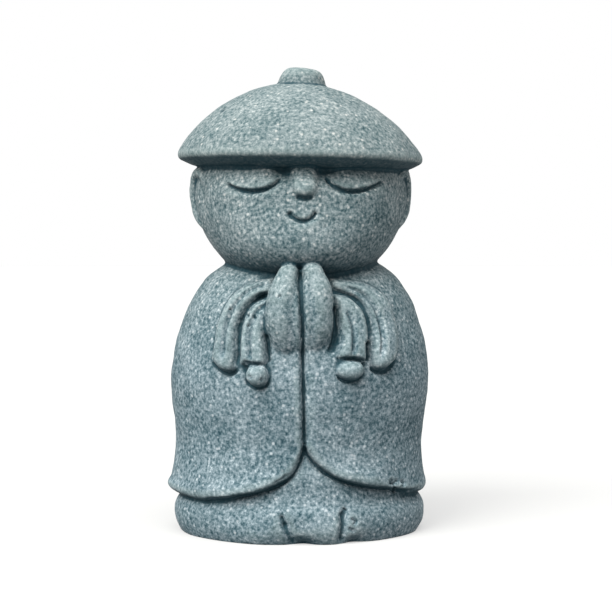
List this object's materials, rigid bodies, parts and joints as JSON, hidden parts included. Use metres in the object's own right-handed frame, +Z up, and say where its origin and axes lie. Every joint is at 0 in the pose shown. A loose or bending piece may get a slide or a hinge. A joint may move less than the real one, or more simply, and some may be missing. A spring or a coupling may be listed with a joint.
{
  "type": "stone monk statue",
  "caption": "Small cast stone figure of a praying monk in a domed hat and a long open coat, standing on its flat underside.",
  "frame": {"origin": "middle of the underside, on the ground, under the middle of the figure's bounding box", "axes": "+Z up along the figure, the figure looks along -Y, +X to the right of a viewer in front of it"},
  "size_m": [0.0568, 0.0516, 0.1],
  "materials": {
    "cast_stone": "matte, fine speckle, dark patina in the recesses"
  },
  "bodies": {
    "root": {"monk_statue": "cast_stone"}
  },
  "joints": []
}
